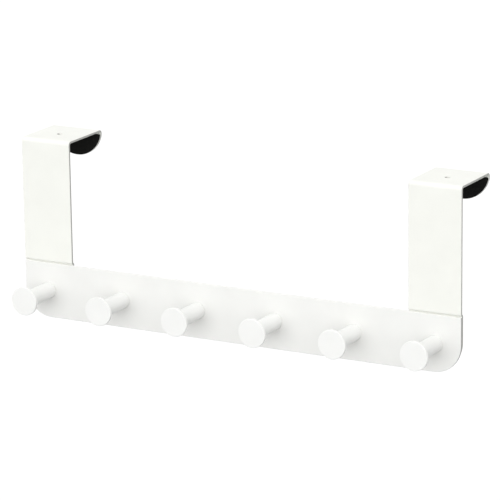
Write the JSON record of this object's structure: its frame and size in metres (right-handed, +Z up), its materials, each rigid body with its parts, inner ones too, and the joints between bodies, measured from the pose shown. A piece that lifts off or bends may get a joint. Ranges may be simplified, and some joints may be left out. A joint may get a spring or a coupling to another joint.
{
  "type": "over door hook",
  "caption": "Flat rounded rail with a row of round-headed knobs in front and two wide bent straps that hook over the top of a door, each ending in a padded lip.",
  "frame": {"origin": "midway between the holes in the two tabs, at the height of the door's top, which is the tabs' underside", "axes": "+X along the rail, to the right as seen from the room; +Y from the room into the door; +Z up"},
  "size_m": [0.35, 0.0804, 0.133],
  "materials": {
    "white_paint": "smooth satin white powder coat on sheet steel and turned metal knobs",
    "black_pad": "matte black fine-celled foam rubber",
    "zinc_screw": "bright zinc plating"
  },
  "bodies": {
    "root": {"rail": "white_paint", "strap_left": "white_paint", "pad_left": "black_pad", "strap_right": "white_paint", "pad_right": "black_pad", "knob_1": "white_paint", "screw_1": "zinc_screw", "knob_2": "white_paint", "screw_2": "zinc_screw", "knob_3": "white_paint", "screw_3": "zinc_screw", "knob_4": "white_paint", "screw_4": "zinc_screw", "knob_5": "white_paint", "screw_5": "zinc_screw", "knob_6": "white_paint", "screw_6": "zinc_screw"}
  },
  "joints": []
}
